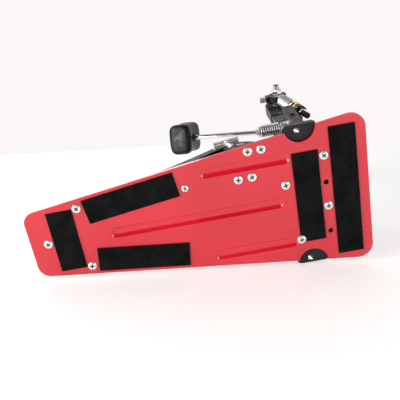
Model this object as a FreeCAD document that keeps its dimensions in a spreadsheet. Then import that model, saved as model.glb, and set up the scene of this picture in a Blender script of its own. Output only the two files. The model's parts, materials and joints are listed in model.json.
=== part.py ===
import FreeCAD, Part
import os
import re

import Sketcher

# Bass drum pedal: a long footboard hinged at the heel, a direct-drive link to a cross axle
# between two posts, a two-sided beater, a side return spring and a hoop clamp at the toe.
# +X is the player's right, +Y points to the drum and +Z is up. Z = 0 is the underside of
# the hook-and-loop strips, and the origin is the centre of the base plate.

doc = FreeCAD.newDocument("bass_drum_pedal")
Vector = FreeCAD.Vector
Rotation = FreeCAD.Rotation
Placement = FreeCAD.Placement

# Driving dimensions, in millimetres and degrees
sizes = {
    "plateLength": 350,
    "heelHalf": 36,
    "toeHalf": 82.2,
    "sheetThick": 3,
    "stripThick": 2,
    "stripWide": 26.4,
    "sideStripLong": 95.5,
    "sideStripLean": 7.5,
    "sideStripAcross": 33.8,
    "sideStripAlong": -64,
    "toeCorner": 15,
    "heelCorner": 13,
    "notchRadius": 15.5,
    "notchAcross": 75.5,
    "notchAlong": 111,
    "beadRadius": 9,
    "beadDrop": 6.93,
    "screwShank": 2.4,
    "screwHole": 2.7,
    "headRadius": 4.65,
    "headTall": 1.7,
    "clampRow": 132,
    "clampNear": 13,
    "clampFar": 42.3,
    "hingeAlong": -112,
    "hingeUp": 18.5,
    "hingePin": 3,
    "boardPitch": 15.4,
    "boardTop": 5,
    "boardSheet": 4,
    "boardDeep": 9,
    "boardEdge": 3,
    "axleAlong": 116,
    "axleUp": 165,
    "axleRadius": 5,
    "fitGap": 0.04,
    "armReach": 28,
    "armPitch": 36,
    "linkLong": 84.55,
    "linkLean": 2.5,
    "toePinAlong": 135,
    "toePinUp": 97,
    "pivotPin": 3,
    "beaterAcross": 15.5,
    "beaterOffset": 9.6,
    "beaterPitch": 71.3,
    "beaterReach": 131.6,
    "shaftRadius": 3.2,
    "headTurn": 14,
    "headHalfAcross": 19.5,
    "headHalfLong": 14.5,
    "coreHalfDeep": 13.5,
    "faceThick": 9,
    "postInner": 43,
    "postOuter": 54,
    "postTop": 120,
    "housingRadius": 15,
    "bearingRadius": 11,
    "springAcross": 63,
    "springLean": 11,
    "rockerPinAlong": 118,
    "rockerPinUp": 147,
    "coilRadius": 6.6,
    "wireRadius": 0.9,
    "screwAcross": 57,
    "screwAlong": 40,
    "screwUp": 48.5,
    "screwLean": 17,
    "jawPivotAlong": 134,
    "jawPivotUp": 16,
}

sheet = doc.addObject("Spreadsheet::Sheet", "dims")
for row, (alias, value) in enumerate(sizes.items(), start=1):
    sheet.set(f"A{row}", alias)
    sheet.set(f"B{row}", str(value))
    sheet.setAlias(f"B{row}", alias)
doc.recompute()

plateTop = "(stripThick + sheetThick)"
plateHalf = "(plateLength / 2)"
upright = Rotation()
alongX = Rotation(Vector(0, 1, 0), 90)
alongY = Rotation(Vector(1, 0, 0), -90)
nodes = {}


def rule(text):
    """The text with each word that is a cell of the sheet turned into a reference."""
    def cell(word):
        return "dims." + word[0] if word[0] in sizes else word[0]

    return re.sub(r"[A-Za-z]\w*", cell, str(text))


def amount(text):
    """The number that a rule gives."""
    return float(sheet.evalExpression(rule(text)))


def place(piece, at, turn=upright):
    piece.Placement = Placement(Vector(0, 0, 0), turn)
    for letter, text in zip("xyz", at):
        piece.setExpression("Placement.Base." + letter, rule(text))
    return piece


def block(low, high, turn=upright):
    """A box between two corners, each given as three rules."""
    piece = doc.addObject("Part::Box", "block")
    for side, start, end in zip(("Length", "Width", "Height"), low, high):
        piece.setExpression(side, rule(f"({end}) - ({start})"))
    return place(piece, low, turn)


def bar(at, radius, long, turn=upright):
    """A round bar that starts at a point and runs along the turned Z axis."""
    piece = doc.addObject("Part::Cylinder", "bar")
    piece.setExpression("Radius", rule(radius))
    piece.setExpression("Height", rule(long))
    return place(piece, at, turn)


def cone(at, low, high, long, turn=upright):
    piece = doc.addObject("Part::Cone", "cone")
    piece.setExpression("Radius1", rule(low))
    piece.setExpression("Radius2", rule(high))
    piece.setExpression("Height", rule(long))
    return place(piece, at, turn)


def ring(at, middle, wire, turn=upright):
    piece = doc.addObject("Part::Torus", "ring")
    piece.setExpression("Radius1", rule(middle))
    piece.setExpression("Radius2", rule(wire))
    return place(piece, at, turn)


def ball(at, radius):
    piece = doc.addObject("Part::Sphere", "ball")
    piece.setExpression("Radius", rule(radius))
    return place(piece, at)


def hexagon(at, corner, long, turn=upright):
    piece = doc.addObject("Part::Prism", "hexagon")
    piece.Polygon = 6
    piece.setExpression("Circumradius", rule(corner))
    piece.setExpression("Height", rule(long))
    return place(piece, at, turn)


def joined(*pieces):
    if len(pieces) == 1:
        return pieces[0]
    whole = doc.addObject("Part::MultiFuse", "joined")
    whole.Shapes = list(pieces)
    return whole


def cut(base, *tools):
    piece = doc.addObject("Part::Cut", "cut")
    piece.Base = base
    piece.Tool = joined(*tools)
    return piece


def group(*pieces):
    """Separate solids that share one node."""
    piece = doc.addObject("Part::Compound", "group")
    piece.Links = list(pieces)
    return piece


def rounded(base, radius, chosen):
    """The base with a fillet on each edge that the test picks."""
    doc.recompute()
    picked = [i for i, edge in enumerate(base.Shape.Edges, start=1) if chosen(edge)]
    piece = doc.addObject("Part::Fillet", "rounded")
    piece.Base = base
    piece.Edges = [(i, radius, radius) for i in picked]
    return piece


def runs(edge, axis):
    """Whether an edge is a straight one along an axis."""
    if edge.Curve.TypeId != "Part::GeomLine":
        return False
    return abs(abs(edge.Curve.Direction.dot(axis)) - 1) < 1e-6


def framed(piece, frame):
    """The piece carried into another frame."""
    whole = group(piece)
    whole.Placement = frame
    return whole


def node(label, piece, frame=None):
    if frame is not None:
        piece = framed(piece, frame)
    piece.Label = label
    nodes[label] = piece


def originPlane(body, role):
    return next(item for item in body.Origin.OriginFeatures if item.Role == role)


def newSketch(body, name, up):
    sketch = body.newObject("Sketcher::SketchObject", name)
    sketch.AttachmentSupport = [(originPlane(body, "XY_Plane"), "")]
    sketch.MapMode = "FlatFace"
    sketch.setExpression("AttachmentOffset.Base.z", rule(up))
    return sketch


def pinPoint(sketch, item, end, name, across, along):
    for kind, letter, text in (("DistanceX", "x", across), ("DistanceY", "y", along)):
        number = sketch.addConstraint(Sketcher.Constraint(kind, -1, 1, item, end, amount(text)))
        sketch.renameConstraint(number, name + letter)
        sketch.setExpression("Constraints." + name + letter, rule(text))


def drawPolygon(sketch, corners):
    """A closed outline through corners that are each given as two rules."""
    points = [Vector(amount(x), amount(y), 0) for x, y in corners]
    count = len(points)
    for i, point in enumerate(points):
        sketch.addGeometry(Part.LineSegment(point, points[(i + 1) % count]), False)
    for i in range(count):
        sketch.addConstraint(Sketcher.Constraint("Coincident", i, 2, (i + 1) % count, 1))
    for i, (across, along) in enumerate(corners):
        pinPoint(sketch, i, 1, f"corner{i}", across, along)


def drawCircle(sketch, across, along, radius):
    centre = Vector(amount(across), amount(along), 0)
    item = sketch.addGeometry(Part.Circle(centre, Vector(0, 0, 1), amount(radius)), False)
    number = sketch.addConstraint(Sketcher.Constraint("Radius", item, amount(radius)))
    sketch.renameConstraint(number, f"circle{item}")
    sketch.setExpression(f"Constraints.circle{item}", rule(radius))
    pinPoint(sketch, item, 3, f"centre{item}", across, along)


def pad(body, name, sketch, thick):
    feature = body.newObject("PartDesign::Pad", name)
    feature.Profile = sketch
    feature.setExpression("Length", rule(thick))
    doc.recompute()
    return feature


def pocket(body, name, sketch, up):
    """Cuts upward from the sketch, and checks that something went."""
    before = body.Shape.Volume
    feature = body.newObject("PartDesign::Pocket", name)
    feature.Profile = sketch
    feature.Reversed = True
    feature.setExpression("Length", rule(up))
    doc.recompute()
    assert body.Shape.Volume < before - 1, name
    return feature


def filletCorners(body, name, radius, chosen):
    """Rounds the upright edges of a body that the test picks by their place."""
    base = body.Tip
    picked = []
    for i, edge in enumerate(body.Shape.Edges, start=1):
        if runs(edge, Vector(0, 0, 1)) and chosen(edge.CenterOfMass):
            picked.append(f"Edge{i}")
    feature = body.newObject("PartDesign::Fillet", name)
    feature.Base = (base, picked)
    feature.setExpression("Radius", rule(radius))
    doc.recompute()
    return feature


# The fasteners under the plate: where each goes through and how high its shank reaches
bracketScrews = [(60.3, 58.3), (60.4, 71.7), (32.6, 45.1), (32.9, 59.1)]
heelScrews = [(33.4, -119.4), (-33.4, -119.4), (0, -157)]
bridgeScrew = (17.6, 91.2)
footScrew = (-46.7, 100.8)
clipScrew = (34, -8.6)
clampScrews = [("clampFar", "clampRow"), ("-clampNear", "clampRow")]
openHoles = [("clampNear", "clampRow"), ("-clampFar", "clampRow")]
plateScrews = bracketScrews + heelScrews + [bridgeScrew, footScrew] + clampScrews
beads = [(46, 14, 92), (-1, -86, 81), (-48, 15, 92)]


def screw(across, along, reach, head="headRadius", shank="screwShank"):
    """A pan-head screw from below: a low head under the plate and a shank up into the work."""
    return joined(
        bar((across, along, "stripThick - headTall"), head, "headTall"),
        bar((across, along, "stripThick"), shank, f"({reach}) - stripThick"),
    )


def screwWell(across, along, reach, radius="screwHole"):
    return bar((across, along, plateTop + " - 1"), radius, f"({reach}) + 1.5 - {plateTop}")


def bead(across, start, end, radius):
    """A bar with ball ends that lies below the plate and shapes one pressed bead."""
    low = "stripThick - beadDrop"
    return joined(
        bar((across, start, low), radius, end - start, alongY),
        ball((across, start, low), radius),
        ball((across, end, low), radius),
    )


def ridgeRoom():
    """The space that the beads' ridges take above the plate, for what sits over them."""
    return [bead(x, start, end, "beadRadius + sheetThick + 0.3") for x, start, end in beads]


def makePlate():
    """The pressed steel base: a long taper with two edge notches, beads and screw holes."""
    body = doc.addObject("PartDesign::Body", "plateSheet")
    outline = newSketch(body, "plateOutline", "stripThick")
    drawPolygon(outline, [
        ("-heelHalf", "-plateLength / 2"),
        ("heelHalf", "-plateLength / 2"),
        ("toeHalf", "plateLength / 2"),
        ("-toeHalf", "plateLength / 2"),
    ])
    pad(body, "plateSheetPad", outline, "sheetThick")
    filletCorners(body, "toeCorners", "toeCorner", lambda point: point.y > 0)
    filletCorners(body, "heelCorners", "heelCorner", lambda point: point.y < 0)
    holes = newSketch(body, "plateHoles", "stripThick")
    for across, along in plateScrews + [clipScrew] + openHoles:
        drawCircle(holes, across, along, "screwHole")
    pocket(body, "plateHolesCut", holes, "sheetThick")
    notches = newSketch(body, "plateNotches", "stripThick")
    drawCircle(notches, "notchAcross", "notchAlong", "notchRadius")
    drawCircle(notches, "-notchAcross", "notchAlong", "notchRadius")
    pocket(body, "plateNotchesCut", notches, "sheetThick")
    trim = block((-90, -180, plateTop), (90, 180, 20))
    ridges = []
    for x, start, end in beads:
        ridge = doc.addObject("Part::Common", "ridge")
        ridge.Base = bead(x, start, end, "beadRadius + sheetThick")
        ridge.Tool = trim
        ridges.append(ridge)
    grooves = [bead(x, start, end, "beadRadius") for x, start, end in beads]
    node("base_plate", cut(joined(body, *ridges), *grooves))


def strip(long):
    """One hook-and-loop strip about the origin, its face at Z = 0."""
    low = (f"-{long} / 2", "-stripWide / 2", "0 * stripThick")
    return block(low, (f"{long} / 2", "stripWide / 2", "stripThick"))


def makeStrips():
    """Hook-and-loop strips glued under the plate. Their faces are what it stands on."""
    crossways = [(66.8, -138.1), (99.2, 113.1), (141.2, 151.4)]
    pieces = [framed(strip(long), Placement(Vector(0, along, 0), upright)) for long, along in crossways]
    corner = bar((*footScrew, -1), "headRadius + 0.4", "stripThick + 2")
    node("cross_strips", cut(group(*pieces), corner))
    pieces = []
    for side in (-1, 1):
        lean = Rotation(Vector(0, 0, 1), 90 - side * amount("sideStripLean"))
        centre = Vector(side * amount("sideStripAcross"), amount("sideStripAlong"), 0)
        pieces.append(framed(strip("sideStripLong"), Placement(centre, lean)))
    node("side_strips", group(*pieces))


def makeScrews():
    pieces = [screw(x, y, 12.5) for x, y in heelScrews + [footScrew]]
    pieces += [screw(x, y, 8.5) for x, y in bracketScrews + [bridgeScrew] + clampScrews]
    node("base_screws", group(*pieces))
    node("clip_screw", screw(*clipScrew, 9, 3.7, 1.8))


def makeHeel():
    """The cast heel plate and its hinge pin. Two ears hold the pin."""
    ends = []
    bores = [bar((-32, "hingeAlong", "hingeUp"), "hingePin + fitGap", 64, alongX)]
    for side in (-1, 1):
        start = 21.2 if side > 0 else -31
        ends.append(bar((start, "hingeAlong", "hingeUp"), 6.8, 9.8, alongX))
        ends.append(block((start, -122, plateTop), (start + 9.8, "hingeAlong + 4", "hingeUp")))
    slab = block((-31.4, -168, plateTop), (31.4, -120, 19))
    slab = rounded(slab, 8, lambda edge: runs(edge, Vector(0, 0, 1)) and edge.CenterOfMass.y < -140)
    tabs = [block((side - 5, -124, plateTop), (side + 5, -113, 13)) for side in (-33.4, 33.4)]
    treads = [block((-25, -160 + 8 * i, 18), (25, -157 + 8 * i, 20)) for i in range(5)]
    wells = [screwWell(x, y, 13) for x, y in heelScrews]
    solid = cut(joined(slab, *ends, *tabs, *treads), *bores, *wells)
    node("heel_plate", solid)
    node("hinge_pin", bar((-31.5, "hingeAlong", "hingeUp"), "hingePin", 63, alongX))


boardFrame = Placement(
    Vector(0, amount("hingeAlong"), amount("hingeUp")),
    Rotation(Vector(1, 0, 0), amount("boardPitch")),
)
# Half width of the footboard at each distance from the hinge
boardHalves = [(11, 31), (118, 44.5), (157, 50.5), (184, 46.5), (212, 37), (266, 20)]


def boardOutline(sketch, inset):
    """The board's shape as seen from above, drawn inside itself by the inset."""
    right = [(half - inset, along) for along, half in boardHalves]
    right[0] = (right[0][0], right[0][1] + inset)
    right[-1] = (right[-1][0], right[-1][1] - inset)
    drawPolygon(sketch, right + [(-half, along) for half, along in reversed(right)])


def makeBoard():
    """The footboard: a plate with turned-down sides, a hinge barrel and a toe end."""
    body = doc.addObject("PartDesign::Body", "boardShell")
    outer = newSketch(body, "boardOuter", "boardTop - boardDeep")
    boardOutline(outer, 0)
    pad(body, "boardPad", outer, "boardDeep")
    filletCorners(body, "boardBulge", 60, lambda point: 150 < point.y < 190)
    filletCorners(body, "boardToe", 9, lambda point: point.y > 260)
    inner = newSketch(body, "boardInner", "boardTop - boardDeep")
    boardOutline(inner, amount("boardEdge"))
    pocket(body, "boardHollow", inner, "boardDeep - boardSheet")
    barrel = bar((-20.6, 0, 0), 6.2, 41.2, alongX)
    neck = block((-20.6, 0, -4), (20.6, 15, "boardTop"))
    bore = bar((-22, 0, 0), 4.5, 44, alongX)
    slots = []
    for side in (-1, 1):
        for i in range(3):
            slots.append(bar((side * (14 + 4 * i), 60 + 36 * i, -1), 3.5, 10))
    pin = toePinInBoard()
    eyeRoom = bar((-11, pin.y, pin.z), 7.4, 22, alongX)
    node("footboard", cut(joined(body, barrel, neck), bore, eyeRoom, *slots), boardFrame)
    bushes = []
    for start in (-20.5, 8.5):
        sleeve = bar((start, 0, 0), 4.45, 12, alongX)
        bushes.append(cut(sleeve, bar((start - 1, 0, 0), "hingePin + fitGap", 14, alongX)))
    node("hinge_bushes", group(*bushes), boardFrame)
    ribs = []
    for i in range(11):
        half = 20 + 1.1 * i if i < 8 else 27.5 - 5 * (i - 8)
        along = 34 + 18 * i
        ribs.append(block((-half, along, "boardTop"), (half, along + 4, "boardTop + 1.2")))
    node("grip_ribs", group(*ribs), boardFrame)


def toePinInBoard():
    """The toe pin's place in the board's own tilted frame."""
    world = Vector(0, amount("toePinAlong"), amount("toePinUp"))
    return boardFrame.inverse().multVec(world)


def makeToeClevis():
    pin = toePinInBoard()
    foot = block((-10.8, pin.y - 18, "boardTop"), (10.8, pin.y + 6, "boardTop + 2.4"))
    parts = [foot]
    for start in (-10.8, 5.8):
        parts.append(block((start, pin.y - 6, "boardTop"), (start + 5, pin.y + 6, pin.z)))
        parts.append(bar((start, pin.y, pin.z), 6, 5, alongX))
    bore = bar((-12, pin.y, pin.z), "pivotPin + fitGap", 24, alongX)
    relief = bar((-5.7, pin.y, pin.z), 7.2, 11.4, alongX)
    ears = cut(joined(*parts), bore, relief)
    node("toe_clevis", ears, boardFrame)
    node("toe_pin", bar((-11.5, pin.y, pin.z), "pivotPin", 23, alongX), boardFrame)
    clips = []
    for start in (-13, 10.9):
        collar = bar((start, pin.y, pin.z), 4.6, 2.1, alongX)
        clips.append(cut(collar, bar((start - 1, pin.y, pin.z), "pivotPin + fitGap", 5, alongX)))
    node("toe_pin_clips", group(*clips), boardFrame)


linkFrame = Placement(
    Vector(0, amount("toePinAlong"), amount("toePinUp")),
    Rotation(Vector(1, 0, 0), -amount("linkLean")),
)


def makeLink():
    """The rigid drive link: an eye on the toe pin and a fork with wide holes at the top."""
    eye = bar((-5, 0, 0), 6.5, 10, alongX)
    stem = block((-4.5, -4, 3), (4.5, 4, 66))
    yoke = block((-8.8, -6, 58), (8.8, 6, 66))
    parts = [eye, stem, yoke]
    for start in (-8.8, 5.4):
        parts.append(block((start, -8, 60), (start + 3.4, 8, "linkLong")))
        parts.append(bar((start, 0, "linkLong"), 11, 3.4, alongX))
    eyeBore = bar((-6, 0, 0), 4.5, 12, alongX)
    forkBore = bar((-10, 0, "linkLong"), 8.2, 20, alongX)
    node("drive_link", cut(joined(*parts), eyeBore, forkBore), linkFrame)
    sleeve = bar((-5, 0, 0), 4.45, 10, alongX)
    node("link_bush", cut(sleeve, bar((-6, 0, 0), "pivotPin + fitGap", 12, alongX)), linkFrame)


axlePoint = Vector(0, amount("axleAlong"), amount("axleUp"))
axleFrame = Placement(axlePoint, Rotation())
armFrame = Placement(axlePoint, Rotation(Vector(1, 0, 0), amount("armPitch")))
beaterTurn = Rotation(Vector(1, 0, 0), amount("beaterPitch"))
beaterFrame = Placement(axlePoint, beaterTurn)
# The head's middle on the shaft. The head is turned a little about the shaft.
headFrame = beaterFrame.multiply(Placement(
    Vector(amount("beaterAcross"), amount("beaterOffset"), amount("beaterReach")),
    Rotation(Vector(0, 0, 1), amount("headTurn")),
))


def axleBore(start, long):
    return bar((start, 0, 0), "axleRadius + fitGap", long, alongX)


def makeAxle():
    """The cross axle with the stud for the rocker nut at its right end."""
    shaft = joined(
        bar((-57, 0, 0), "axleRadius", 123, alongX),
        bar((66, 0, 0), 3.5, 11.5, alongX),
    )
    node("axle_shaft", shaft, axleFrame)
    collar = cut(bar((-62, 0, 0), 8, 5, alongX), bar((-63, 0, 0), 2.6, 7, alongX))
    node("axle_end_collar", joined(collar, bar((-63.5, 0, 0), 2.5, 6.4, alongX)), axleFrame)
    nut = cut(hexagon((66.6, 0, 0), 6.4, 5, alongX), bar((66, 0, 0), "3.5 + fitGap", 7, alongX))
    node("rocker_nut", nut, axleFrame)


def makeArm():
    """The drive arm on the axle, its pin and the two washers that hide the fork's holes."""
    arm = joined(
        bar((-4.9, 0, 0), 11, 9.8, alongX),
        block((-4.9, 0, -5.5), (4.9, "armReach", 5.5)),
        bar((-4.9, "armReach", 0), 6.5, 9.8, alongX),
    )
    pinBore = bar((-6, "armReach", 0), "pivotPin + fitGap", 12, alongX)
    node("drive_arm", cut(arm, axleBore(-6, 12), pinBore), armFrame)
    node("arm_pin", bar((-12.2, "armReach", 0), "pivotPin", 23, alongX), armFrame)
    washers = []
    for start in (-10.7, 9.2):
        disc = bar((start, "armReach", 0), 9.5, 1.5, alongX)
        washers.append(cut(disc, bar((start - 1, "armReach", 0), "pivotPin + fitGap", 4, alongX)))
    node("arm_washers", group(*washers), armFrame)


def makeHub():
    """The beater hub: a ring on the axle with a cross bore for the beater's shaft.

    In this frame +Z runs up the shaft to the head, and the shaft stands off on +Y.
    """
    hub = joined(
        bar((11.2, 0, 0), 10.5, 11, alongX),
        block((11.2, 0, -9), (22.2, "beaterOffset + 7", 9)),
    )
    hub = cut(hub, axleBore(10, 14), shaftBar("shaftRadius + fitGap", -12, 24))
    keyWell = bar((16.7, 13.8, 0), 2.5, 4, alongY)
    node("beater_hub", cut(hub, keyWell), beaterFrame)


def shaftBar(radius, start, long):
    return bar(("beaterAcross", "beaterOffset", start), radius, long)


def makeBeater():
    node("beater_shaft", shaftBar("shaftRadius", -19, "19 + beaterReach + 8"), beaterFrame)
    core = block(
        ("1.5 - headHalfAcross", "-coreHalfDeep", "1.3 - headHalfLong"),
        ("headHalfAcross - 1.5", "coreHalfDeep", "headHalfLong - 1.3"),
    )
    core = rounded(core, 7, lambda edge: runs(edge, Vector(0, 1, 0)))
    bore = bar((0, 0, -20), "shaftRadius + fitGap", 29)
    node("beater_core", cut(core, bore), headFrame)
    faces = {
        "beater_felt_face": "coreHalfDeep + 0.05",
        "beater_hard_face": "-coreHalfDeep - 0.05 - faceThick",
    }
    for name, start in faces.items():
        low = ("-headHalfAcross", start, "-headHalfLong")
        high = ("headHalfAcross", f"{start} + faceThick", "headHalfLong")
        face = rounded(block(low, high), 7.5, lambda edge: runs(edge, Vector(0, 1, 0)))
        node(name, face, headFrame)


def makeRocker():
    """The black rocker clamped on the axle's right end, with the spring's pin below it."""
    pinAlong = amount("rockerPinAlong - axleAlong")
    pinUp = amount("rockerPinUp - axleUp")
    arm = joined(
        bar((58.4, 0, 0), 11, 7.4, alongX),
        block((58.4, -4.5, pinUp), (61.6, 6.5, 0)),
        bar((58.4, pinAlong, pinUp), 5, 3.2, alongX),
        block((58.4, -14, -5), (65.8, 0, 5)),
    )
    keyWell = bar((62, -16, 0), 2.5, 7, alongY)
    node("spring_rocker", cut(arm, axleBore(57, 10), keyWell), axleFrame)
    pin = joined(
        bar((61.65, pinAlong, pinUp), 2.4, 5.8, alongX),
        bar((67.45, pinAlong, pinUp), 4, 1.4, alongX),
    )
    node("rocker_pin", pin, axleFrame)
    rockerKey = joined(bar((62, -14.2, 0), 2.4, 4.5, alongY), block((59, -21.5, -3), (65, -14.2, 3)))
    hubKey = joined(bar((16.7, 14.3, 0), 2.4, 2.6, alongY), block((13.5, 16.8, -3.2), (19.9, 22.6, 3.2)))
    node("key_bolts", group(framed(rockerKey, axleFrame), framed(hubKey, beaterFrame)))


springPoint = Vector(amount("springAcross"), amount("rockerPinAlong"), amount("rockerPinUp"))
springTurn = Rotation(Vector(1, 0, 0), 180 + amount("springLean"))
springFrame = Placement(springPoint, springTurn)


def coil(radius, wire, pitch, long):
    """A closed helical solid along +Z from the origin."""
    path = Part.Wire(Part.makeHelix(pitch, long, radius).Edges)
    outline = Part.Wire(Part.makeCircle(wire, Vector(radius, 0, 0), Vector(0, 1, 0)))
    return path.makePipeShell([outline], True, True)


def coilNode(label, shape, frame):
    piece = doc.addObject("Part::Feature", "coil")
    piece.Shape = shape
    piece.Placement = frame
    piece.Label = label
    nodes[label] = piece


def makeSpring():
    """The return spring on its leaning line. +Z in this frame runs down the line."""
    wire = amount("wireRadius")
    body = coil(amount("coilRadius"), wire, 2.35, 32)
    body.translate(Vector(0, 0, 6.5))
    hook = Part.makeTorus(3.6, wire, Vector(0, 0, 0), Vector(1, 0, 0))
    coilNode("return_spring", Part.makeCompound([body, hook]), springFrame)
    plug = joined(bar((0, 0, 34), 5.2, 6.4), bar((0, 0, 40.4), 7.4, 3.2))
    node("spring_plug", cut(plug, bar((0, 0, 33), "2.5 + fitGap", 12)), springFrame)
    lock = cut(hexagon((0, 0, 45), 7, 4), bar((0, 0, 44), "2.5 + fitGap", 6))
    node("spring_lock_nut", lock, springFrame)
    node("tension_rod", bar((0, 0, 35), 2.5, 41), springFrame)
    nut = cut(hexagon((0, 0, 60.6), 4.6, 6), bar((0, 0, 60), "2.5 + fitGap", 8))
    node("tension_nut", nut, springFrame)
    cap = cut(bar((0, 0, 68.4), 3.3, 9.6), bar((0, 0, 68), "2.5 + fitGap", 8.6))
    node("tension_cap", cap, springFrame)


def springLine(at, radius, long):
    """A bar on the spring's line, carried into the row's frame."""
    return framed(bar((0, 0, at), radius, long), springFrame)


def makeTensionBracket():
    """The black casting on the right post that holds the tension rod in a round lug."""
    web = joined(
        block(("postOuter + 0.2", 110, 12.5), (70, 121.5, 97)),
        block(("postOuter + 0.2", 110, 85), (66, 130, 97)),
        springLine(50.4, 6.8, 9.2),
    )
    tools = [
        springLine(45, "2.5 + fitGap", 30),
        springLine(59.7, 5.4, 24),
        bar((65, 109, 41), 3.1, 9.5, alongY),
    ]
    node("tension_bracket", cut(web, *tools))
    bolts = [bar((70, 115.7, up), 2.6, 1.4, alongX) for up in (28, 64)]
    node("bracket_bolts", group(*bolts))


def makeAnchorBolt():
    """The key bolt with its stiff coil behind the right foot."""
    head = joined(block((62.4, 73, 38.4), (67.6, 75.5, 43.6)), bar((65, 75.4, 41), 5.6, 1.5, alongY))
    node("anchor_bolt", joined(head, bar((65, 76.9, 41), 3, 40.6, alongY)))
    shape = coil(5.3, 1.05, 2.25, 20)
    coilNode("anchor_spring", shape, Placement(Vector(65, 78, 41), alongY))
    sleeve = cut(bar((65, 99.6, 41), 5.2, 10.2, alongY), bar((65, 98, 41), "3 + fitGap", 13, alongY))
    node("anchor_sleeve", sleeve)


def sided(side, low, high):
    """The span between two distances from the middle, on the chosen side."""
    return (low, high) if side > 0 else (f"-({high})", f"-({low})")


def makePost(name, side):
    """One post: a foot over the notch, a column and a round-topped bearing housing."""
    inner, outer = sided(side, "postInner", "postOuter")
    column = block((inner, 101, plateTop), (outer, 118, "postTop"))
    near, far = sided(side, 50, 77.5)
    foot = block((near, 94, plateTop), (far, 129, 12))
    foot = rounded(foot, 5, lambda edge: runs(edge, Vector(0, 0, 1)) and abs(edge.CenterOfMass.x) > 60)
    rise, fall = sided(side, "postOuter - 1", 62)
    gusset = block((rise, 100, plateTop), (fall, 109, 20))
    tools = [framed(bar((0, 0, -26), "3 + fitGap", 26), spurFrame(side))]
    if side < 0:
        tools.append(screwWell(*footScrew, 13))
    node(name + "_post", cut(joined(column, foot, gusset), *tools, *ridgeRoom()))
    start, end = sided(side, "postInner + 0.5", "postOuter + 1.2")
    long = f"({end}) - ({start})"
    housing = joined(
        block((start, 100, "postTop"), (end, 129, "axleUp")),
        bar((start, "axleAlong", "axleUp"), "housingRadius", long, alongX),
    )
    bore = bar((f"({start}) - 1", "axleAlong", "axleUp"), "bearingRadius + fitGap", f"{long} + 2", alongX)
    node(name + "_housing", cut(housing, bore))


def makeBearings():
    """Two ball bearings: outer races in the housings, balls, and inner races on the axle."""
    axis = ("axleAlong", "axleUp")
    outers, inners, balls = [], [], []
    for side in (-1, 1):
        start = sided(side, 46, 53)[0]
        middle = f"({start}) + 3.5"
        outers.append(cut(
            bar((start, *axis), "bearingRadius", 7, alongX),
            bar((f"({start}) - 1", *axis), 8.7, 9, alongX),
            ring((middle, *axis), 7.8, 1.25, alongX),
        ))
        inners.append(cut(
            bar((start, *axis), 6.9, 7, alongX),
            bar((f"({start}) - 1", *axis), "axleRadius + fitGap", 9, alongX),
            ring((middle, *axis), 7.8, 1.25, alongX),
        ))
        for i in range(10):
            spoke = Rotation(Vector(1, 0, 0), 36 * i).multVec(Vector(0, 7.8, 0))
            balls.append(ball((middle, f"axleAlong + {spoke.y}", f"axleUp + {spoke.z}"), 1.2))
    node("outer_races", group(*outers))
    node("inner_races", group(*inners))
    node("bearing_balls", group(*balls))


def spurFrame(side):
    """A spur's leaning line from its tip. +Z in this frame runs down and to the toe."""
    return Placement(Vector(71.5 * side, 109.5, 0.6), Rotation(Vector(1, 0, 0), 194))


def makeSpur(name, side):
    """A threaded steel spur through the foot with a cone tip and a square key head."""
    spur = joined(
        bar((0, 0, -24), 3, 20),
        cone((0, 0, -4), 3, 0.6, 4),
        block((-3.2, -3.2, -30), (3.2, 3.2, -24)),
    )
    node(name + "_spur", spur, spurFrame(side))


def makeBridge():
    """The cross tie between the posts' feet, low under the footboard."""
    tie = block((-42.8, 86, plateTop), (42.8, 118, 10))
    node("post_bridge", cut(tie, screwWell(*bridgeScrew, 9), *ridgeRoom()))


def makeClampBracket():
    """The bracket for the clamp's screw: a slab on four screws, a back wall and a tapped roof."""
    parts = [
        block((27, 39, plateTop), (39, 66, 19.2)),
        block((27, 39, plateTop), (60, 77, 9)),
        block((50, 52, plateTop), (66, 77, 9)),
        block((44, 37, plateTop), (51.5, 44, 33.5)),
        block((44, 37, 27.5), (57, 53, 33.5)),
    ]
    wells = [screwWell(x, y, 9) for x, y in bracketScrews]
    barrelBore = framed(bar((0, 0, -30), "3.7 + fitGap", 30), screwFrame)
    node("clamp_bracket", cut(joined(*parts), barrelBore, *wells, *ridgeRoom()))
    barrel = cut(bar((0, 0, -22), 3.7, 6.5), bar((0, 0, -24), "2.4 + fitGap", 12))
    node("screw_barrel", barrel, screwFrame)


screwFrame = Placement(
    Vector(amount("screwAcross"), amount("screwAlong"), amount("screwUp")),
    Rotation(Vector(1, 0, 0), amount("screwLean")),
)


def makeScrew():
    """The T-shaped hand screw of the hoop clamp."""
    handle = bar((0, -13.5, 0), 3.4, 27, alongY)
    handle = rounded(handle, 1.3, lambda edge: edge.Curve.TypeId == "Part::GeomCircle")
    stem = joined(bar((0, 0, -23), 2.4, 23), bar((0, 0, -6), 3, 6), handle)
    stem = joined(stem, bar((0, -13.9, 0), 4, 2, alongY), bar((0, 11.9, 0), 4, 2, alongY))
    node("t_screw", stem, screwFrame)


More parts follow.
